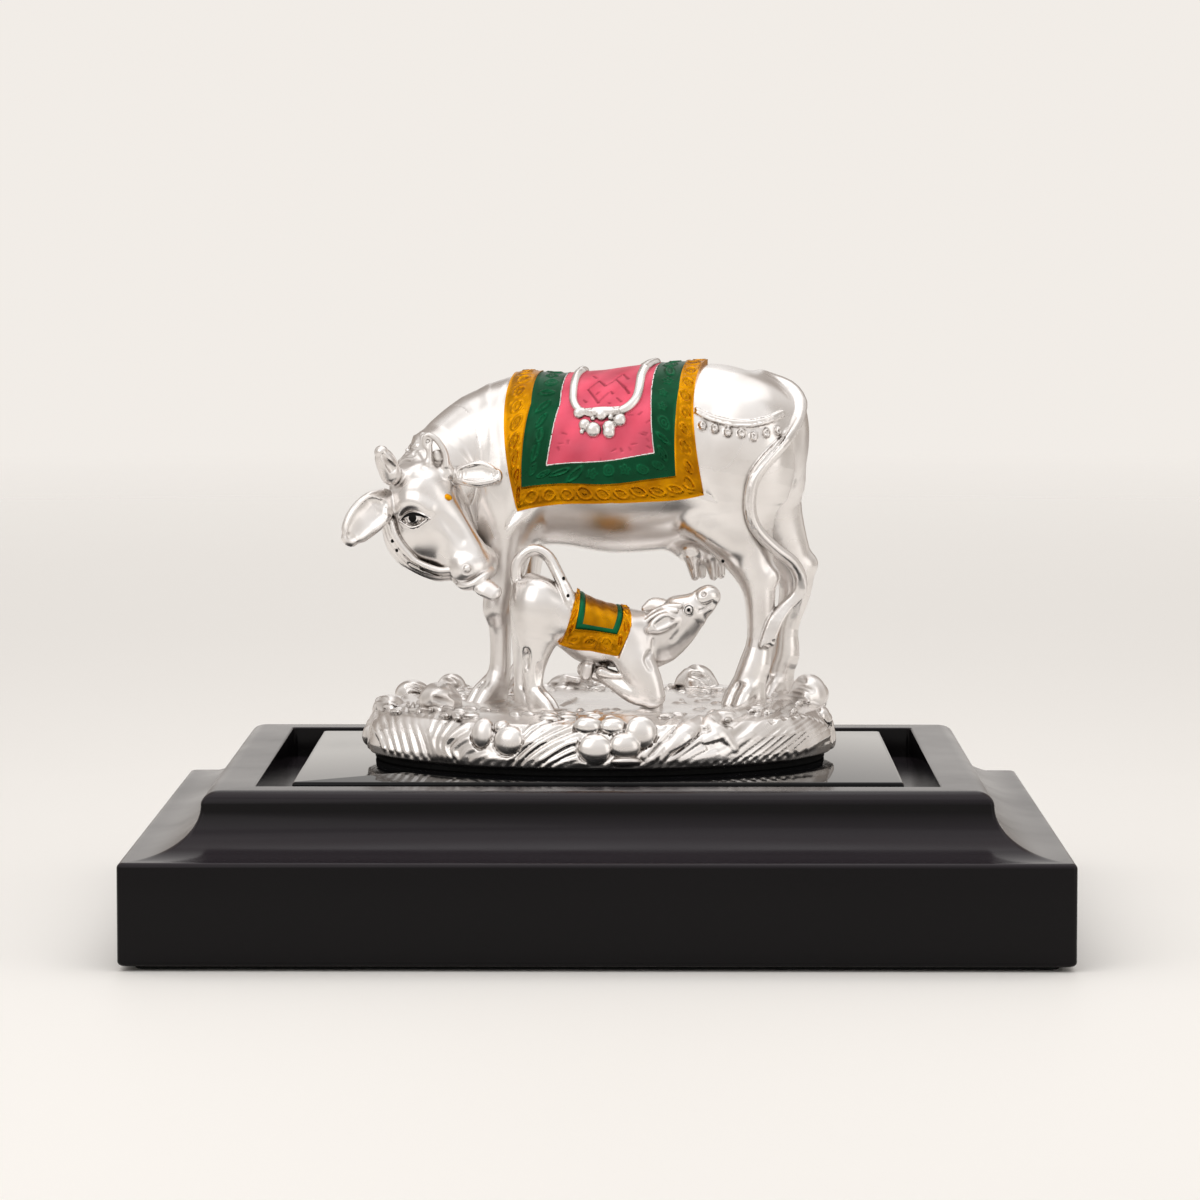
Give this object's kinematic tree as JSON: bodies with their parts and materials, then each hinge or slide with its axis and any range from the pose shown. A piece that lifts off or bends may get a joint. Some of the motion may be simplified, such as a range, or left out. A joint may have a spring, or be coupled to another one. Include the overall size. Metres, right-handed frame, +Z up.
{
  "type": "animal statue",
  "caption": "Cow and calf statue: a cow turns its head to a calf kneeling under it, on an oval grassy ground fixed to a moulded gloss black plinth.",
  "frame": {"origin": "under the middle of the plinth, on the surface it stands on", "axes": "+Z up, -Y toward the front from which the face is seen, -X toward the cow's head"},
  "size_m": [0.23, 0.2, 0.1439],
  "materials": {
    "black_lacquer": "gloss black lacquer",
    "polished_black": "mirror-polished black",
    "black_felt": "pressed felt",
    "black_pad": "matt",
    "silver": "satin silver plating",
    "gold_enamel": "gloss enamel",
    "green_enamel": "gloss enamel",
    "pink_enamel": "gloss enamel",
    "black_enamel": "gloss enamel"
  },
  "bodies": {
    "root": {"plinth": "black_lacquer", "plate": "polished_black", "felt": "black_felt", "foot_pad": "black_pad", "cow_and_calf": "silver"}
  },
  "joints": []
}
